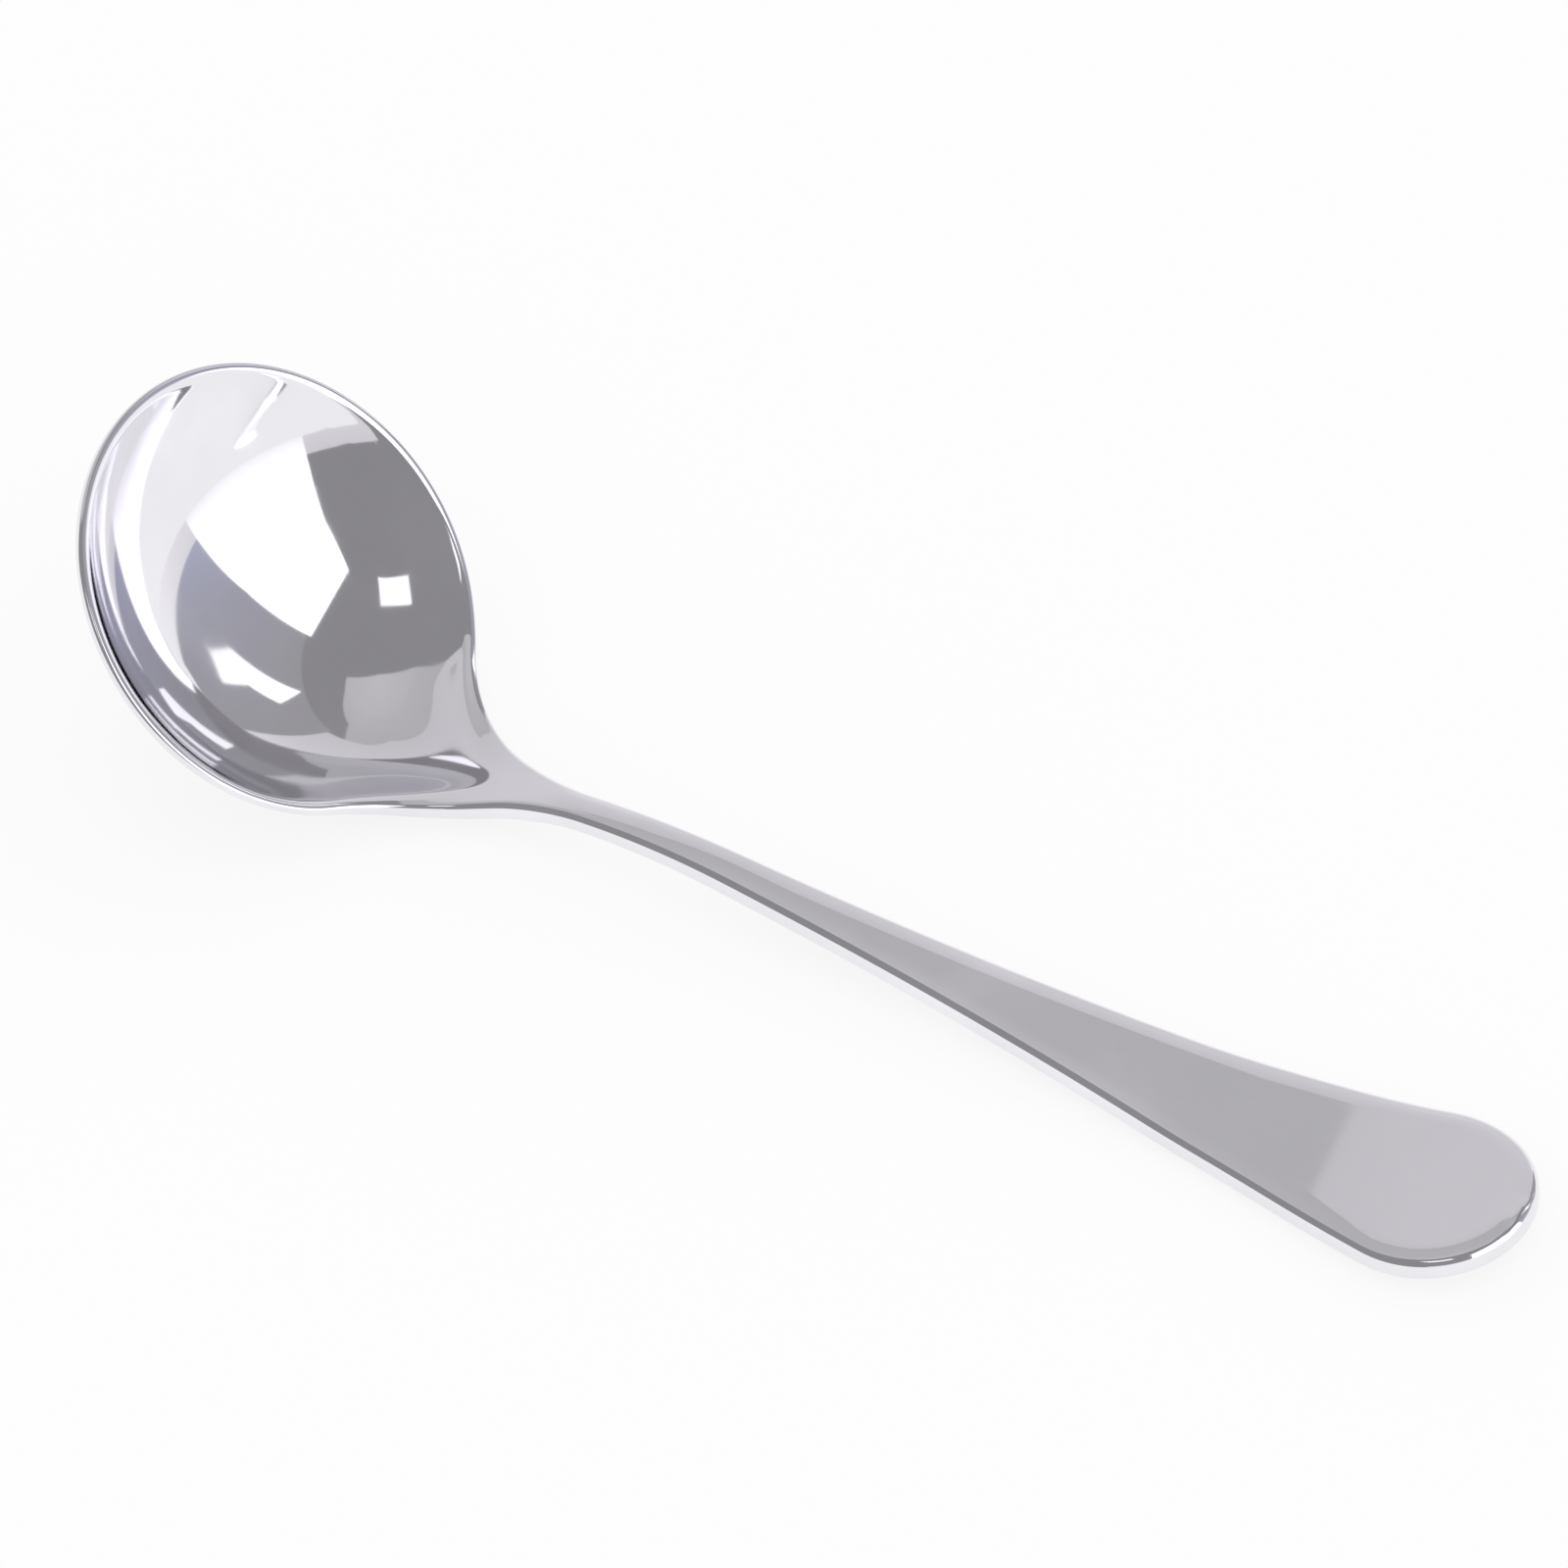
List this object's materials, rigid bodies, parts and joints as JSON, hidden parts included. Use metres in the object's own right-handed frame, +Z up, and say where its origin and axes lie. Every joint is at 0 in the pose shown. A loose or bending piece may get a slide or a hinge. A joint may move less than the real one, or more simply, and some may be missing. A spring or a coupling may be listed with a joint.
{
  "type": "tasting spoon",
  "caption": "Polished steel tasting spoon with a round, tilted bowl, a slim neck and an arched handle that flares to a rounded end.",
  "frame": {"origin": "on the table, under the middle of the spoon's length and width", "axes": "+X from the bowl's tip to the handle's end, +Z up from the table that the spoon lies on"},
  "size_m": [0.1504, 0.045, 0.033],
  "materials": {
    "polished_steel": "polished"
  },
  "bodies": {
    "root": {"bowl": "polished_steel", "handle": "polished_steel"}
  },
  "joints": []
}
